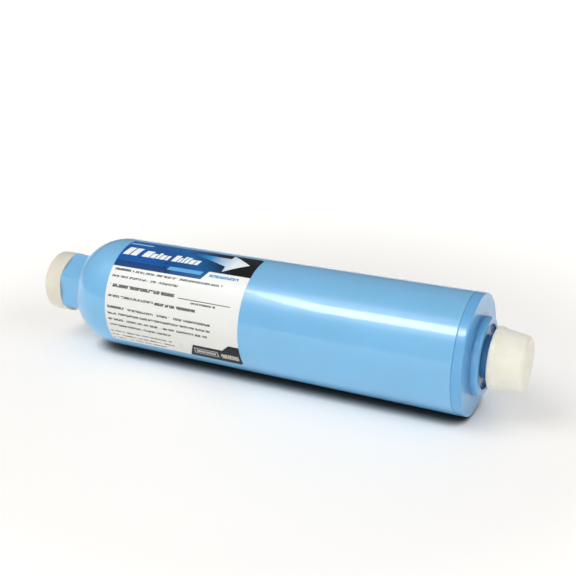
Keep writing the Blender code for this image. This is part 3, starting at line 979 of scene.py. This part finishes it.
def build_hose_washer(material):
    """Flat washer with softly rounded edges."""
    node = "inlet_hose_washer"
    start, end = start_of(node), end_of(node)
    radius = radius_of(node)
    points = [
        (end, WASHER_HOLE, WASHER_ROUNDING),
        (end, radius, WASHER_ROUNDING),
        (start, radius, WASHER_ROUNDING),
        (start, WASHER_HOLE, WASHER_ROUNDING),
    ]
    stand_in(turned_piece("hose_washer", points, material, "filter", closed=True), node)


def build_label(material):
    """A thin sheet with rounded corners that follows the housing's taper."""
    low_rows = []
    for step in range(LABEL_CORNER_STEPS):
        turn = math.pi / 2.0 * step / LABEL_CORNER_STEPS
        low_rows.append(LABEL_CORNER * (1.0 - math.cos(turn)))
    middle_rows = list(np.linspace(LABEL_CORNER, LABEL_HEIGHT - LABEL_CORNER, LABEL_MIDDLE_ROWS))
    high_rows = [LABEL_HEIGHT - height for height in reversed(low_rows)]
    heights = low_rows + middle_rows + high_rows

    vertices = []
    uvs = []
    for lift in (LABEL_GAP, LABEL_GAP + LABEL_THICKNESS):
        for height in heights:
            from_edge = min(height, LABEL_HEIGHT - height, LABEL_CORNER)
            inset = LABEL_CORNER - math.sqrt(LABEL_CORNER ** 2 - (LABEL_CORNER - from_edge) ** 2)
            across = np.linspace(inset, LABEL_LENGTH - inset, LABEL_COLUMNS + 1)
            along = LABEL_START + across
            share = height / LABEL_HEIGHT
            angle = LABEL_LOW_ANGLE + (LABEL_HIGH_ANGLE - LABEL_LOW_ANGLE) * share
            vertices.extend(place(along, outer_radius(along) + lift, angle))
            uvs.extend((value / LABEL_LENGTH, share) for value in across)
    rows = len(heights)
    width = LABEL_COLUMNS + 1
    layer = rows * width
    faces = []

    def quad(first, second, third, fourth):
        faces.append((first, second, third, fourth))

    for row in range(rows - 1):
        for column in range(LABEL_COLUMNS):
            corner = row * width + column
            quad(corner, corner + 1, corner + width + 1, corner + width)
            quad(corner + layer, corner + layer + width, corner + layer + width + 1, corner + layer + 1)
    for row in range(rows - 1):
        for edge in (row * width, row * width + LABEL_COLUMNS):
            quad(edge, edge + width, edge + width + layer, edge + layer)
    for column in range(LABEL_COLUMNS):
        for edge in (column, (rows - 1) * width + column):
            quad(edge, edge + 1, edge + 1 + layer, edge + layer)
    label = add_piece("wrapped_label", vertices, faces, material, "filter")
    layer_map = label.data.uv_layers.new(name="label")
    for loop in label.data.loops:
        layer_map.data[loop.index].uv = uvs[loop.vertex_index]
    stand_in(label, "label")


def build_packed_disc(name, node, material, edge, relief, feature):
    """A pad or bed that fills its CAD node's space, with a soft edge and an uneven skin.

    The skin dips by up to "relief" below the node's surface, in dents about "feature" across.
    """
    start, end = start_of(node), end_of(node)
    end_radius = radius_of(node)
    start_radius = end_radius - inner_radius(end) + inner_radius(start)
    outline = rounded([(end, 0.0), (end, end_radius, edge), (start, start_radius, edge), (start, 0.0)])
    longest_step = max(feature * 0.6, 1.2)
    profile = [outline[0]]
    for point in outline[1:]:
        last = profile[-1]
        steps = max(1, round(math.dist(last, point) / longest_step))
        for step in range(1, steps + 1):
            share = step / steps
            along = last[0] + (point[0] - last[0]) * share
            profile.append((along, last[1] + (point[1] - last[1]) * share))
    profile[-1] = (start, 0.0)
    vertices, faces = ring_skin(profile, even_angles(ROUND_COLUMNS), closed=False)
    disc = add_piece(name, vertices, faces, material, "filter")
    normals = [vertex.normal.copy() for vertex in disc.data.vertices]
    for vertex, normal in zip(disc.data.vertices, normals):
        dent = 0.5 + 0.5 * noise.noise(vertex.co / (feature * MM))
        vertex.co -= normal * relief * MM * dent
    return stand_in(disc, node)


def build_filling():
    """Everything between the two perforated plates, which stay as they are in the CAD model."""
    plate = white_plastic()
    for node in ("inlet_diffuser_plate", "outlet_retainer_plate"):
        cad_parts[node].material_slots[0].material = plate
    coarse = felt("coarse_felt", (0.50, 0.49, 0.45), (0.85, 0.84, 0.80), 0.5)
    fine = felt("fine_felt", (0.55, 0.54, 0.50), (0.80, 0.79, 0.75), 0.25)
    alloy = granules("alloy_granules", (0.35, 0.20, 0.07), (0.75, 0.52, 0.22), 1.0, 0.8, 0.4)
    carbon = granules("carbon_granules", (0.006, 0.006, 0.006), (0.04, 0.04, 0.042), 1.4, 0.0, 0.6)
    build_packed_disc("alloy_granule_bed", "copper_zinc_bed", alloy, 0.6, 0.5, 2.0)
    build_packed_disc("carbon_granule_bed", "carbon_bed", carbon, 0.6, 0.6, 2.6)
    for name, node, material, edge, relief in (
        ("inlet_felt_disc", "inlet_felt_pad", coarse, 1.2, 0.5),
        ("divider_felt_disc", "divider_felt_pad", coarse, 0.8, 0.35),
        ("fine_felt_disc", "sediment_pad", fine, 1.2, 0.3),
        ("foam_disc", "foam_compression_pad", open_foam(), 2.0, 0.8),
    ):
        build_packed_disc(name, node, material, edge, relief, 5.0)


# ---------------------------------------------------------------- studio


def build_floor():
    """A wide, pale sheet on a light table: it glows faintly near the object and is evenly white far away.

    Its colour and its glow are painted dark in the crevice where the object touches it: a painted contact
    shadow.
    """
    low, high = -FLOOR_HALF, FLOOR_HALF
    floor_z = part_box("outlet_end_cap")[0].z - FLOOR_GAP
    corners = [(low, low, floor_z), (high, low, floor_z), (high, high, floor_z), (low, high, floor_z)]
    mesh = bpy.data.meshes.new("studio_floor")
    mesh.from_pydata(corners, [], [(0, 1, 2, 3)])
    surface = Surface("studio_paper", Roughness=0.55)
    paper = surface.mix(surface.noise(400.0, 1.0), (0.875, 0.857, 0.835), (0.90, 0.882, 0.86))
    # Painted contact shadow: colour and glow go dark where the floor is closed in by the object
    unshadowed_floor = surface.openness(0.012, 0.22, 0.56)
    surface.color(surface.mix(unshadowed_floor, (0.015, 0.03, 0.04), paper))
    away = surface.add("ShaderNodeVectorMath", operation="LENGTH")
    surface.put(surface.position, away.inputs[0])
    near, far = 0.2, 0.8
    near_glow, far_glow = 0.18, 0.95
    glow = surface.remap(away.outputs["Value"], near, far, near_glow, far_glow)
    surface.put((1.0, 0.975, 0.935), surface.shader.inputs["Emission Color"])
    surface.put(surface.product(unshadowed_floor, glow), surface.shader.inputs["Emission Strength"])
    mesh.materials.append(surface.material)
    floor = bpy.data.objects.new("studio_floor", mesh)
    bpy.context.scene.collection.objects.link(floor)


def softbox(name, offset, target, size, power):
    """A rectangular light; offset and target are metres from the middle of the seam."""
    lamp = bpy.data.lights.new(name, "AREA")
    lamp.shape = "RECTANGLE"
    lamp.size, lamp.size_y = size
    lamp.energy = power
    light = bpy.data.objects.new(name, lamp)
    bpy.context.scene.collection.objects.link(light)
    light.location = SEAM_MIDDLE + Vector(offset)
    facing = (Vector(target) - Vector(offset)).to_track_quat("-Z", "Y")
    light.rotation_euler = facing.to_euler()
    return light


def reflection(name, start, end, width, radiance):
    """A level strip light from start to end that is seen only in gloss, as a streak along the housing."""
    start, end = Vector(start), Vector(end)
    length = (end - start).length
    middle = (start + end) / 2.0
    below = middle - Vector((0.0, 0.0, 1.0))
    light = softbox(name, middle, below, (length, width), radiance * math.pi * length * width)
    light.rotation_euler = (0.0, 0.0, math.atan2(end.y - start.y, end.x - start.x))
    light.visible_diffuse = False


def build_world():
    """Faint soft light from all round, a little brighter from the front left and from overhead.

    The camera sees it as plain white.
    """
    world = bpy.data.worlds.new("studio")
    bpy.context.scene.world = world
    world.use_nodes = True
    nodes, links = world.node_tree.nodes, world.node_tree.links

    def remap(value, low, high, to_low, to_high):
        node = nodes.new("ShaderNodeMapRange")
        node.interpolation_type = "SMOOTHSTEP"
        for socket, number in zip(node.inputs[1:5], (low, high, to_low, to_high)):
            socket.default_value = number
        links.new(value, node.inputs[0])
        return node.outputs[0]

    def combine(operation, first, second):
        node = nodes.new("ShaderNodeMath")
        node.operation = operation
        links.new(first, node.inputs[0])
        links.new(second, node.inputs[1])
        return node.outputs[0]

    front_left = (-0.55, -0.835, 0.0)
    toward_light = nodes.new("ShaderNodeVectorMath")
    toward_light.operation = "DOT_PRODUCT"
    toward_light.inputs[1].default_value = front_left
    direction = nodes.new("ShaderNodeTexCoord").outputs["Generated"]
    links.new(direction, toward_light.inputs[0])
    axes = nodes.new("ShaderNodeSeparateXYZ")
    links.new(direction, axes.inputs[0])
    side = remap(toward_light.outputs["Value"], -0.7, 0.7, 0.3, 0.5)
    height = remap(axes.outputs[2], 0.0, 0.55, 0.4, 1.0)
    overhead = remap(axes.outputs[2], 0.35, 0.85, 0.0, 0.5)
    light = combine("MAXIMUM", combine("MULTIPLY", side, height), overhead)
    to_camera = nodes.new("ShaderNodeLightPath").outputs["Is Camera Ray"]
    background = nodes["Background"]
    background.inputs["Color"].default_value = (1.0, 1.0, 1.0, 1.0)
    links.new(combine("MAXIMUM", light, to_camera), background.inputs["Strength"])


def build_lights():
    """Square lights from the front left, the outlet's side, the front and the rear, and gloss-only strips.

    The first and the last of the square lights don't show in gloss, where the strips make the streaks.
    """
    target = (-0.10, 0.0, 0.0)
    for name, offset, side, power, in_gloss in (
        ("key", (-0.75, -0.65, 1.31), 1.0, 10.0, False),
        ("side", (1.21, -0.2, 0.92), 1.0, 5.5, True),
        ("front_fill", (0.2, -1.54, 0.33), 1.0, 5.5, True),
        ("rear_fill", (-0.3, 1.5, 0.55), 1.2, 3.5, False),
    ):
        softbox(name, offset, target, (side, side), power).visible_glossy = in_gloss
    for name, start, end, width, radiance in (
        ("long_reflection", (-0.52, -0.53, 0.77), (-0.15, -0.475, 0.77), 0.27, 12.5),
        ("short_reflection", (-0.66, -0.33, 0.77), (-0.44, -0.33, 0.77), 0.10, 8.0),
        ("reflection_halo", (-0.64, -0.55, 0.78), (-0.16, -0.50, 0.78), 0.75, 1.5),
    ):
        reflection(name, start, end, width, radiance)


def build_camera():
    """The camera stands in front, a little to the outlet's side, and looks down at the filter."""
    camera = bpy.data.cameras.new("camera")
    camera.lens = 64.28
    camera.sensor_width = 36.0
    holder = bpy.data.objects.new("camera", camera)
    bpy.context.scene.collection.objects.link(holder)
    holder.location = SEAM_MIDDLE + Vector((0.13606, -0.51295, 0.23171))
    look_down = 0.3551
    look_round = 0.4497
    holder.rotation_euler = (math.pi / 2.0 - look_down, 0.0, look_round)
    bpy.context.scene.camera = holder
    bpy.context.scene.view_settings.view_transform = "Standard"


housing_material = polyethylene_blue("blue_moulding", HOUSING_BLUE)
build_housing(housing_material)
build_end_cap(polyethylene_blue("blue_end_moulding", SHADED_END_BLUE, CREASE_SHADE_BLUE))
build_weld_line(housing_material)
build_inlet_plug(polyethylene_cream("cream_plug", tuple(PLUG_PAINTED_SHADE * value for value in CREAM)))
build_outlet_cap(polyethylene_cream("cream_cap", CREAM))
build_hose_washer(washer_rubber())
build_label(label_print())
build_filling()
build_floor()
build_world()
build_lights()
build_camera()
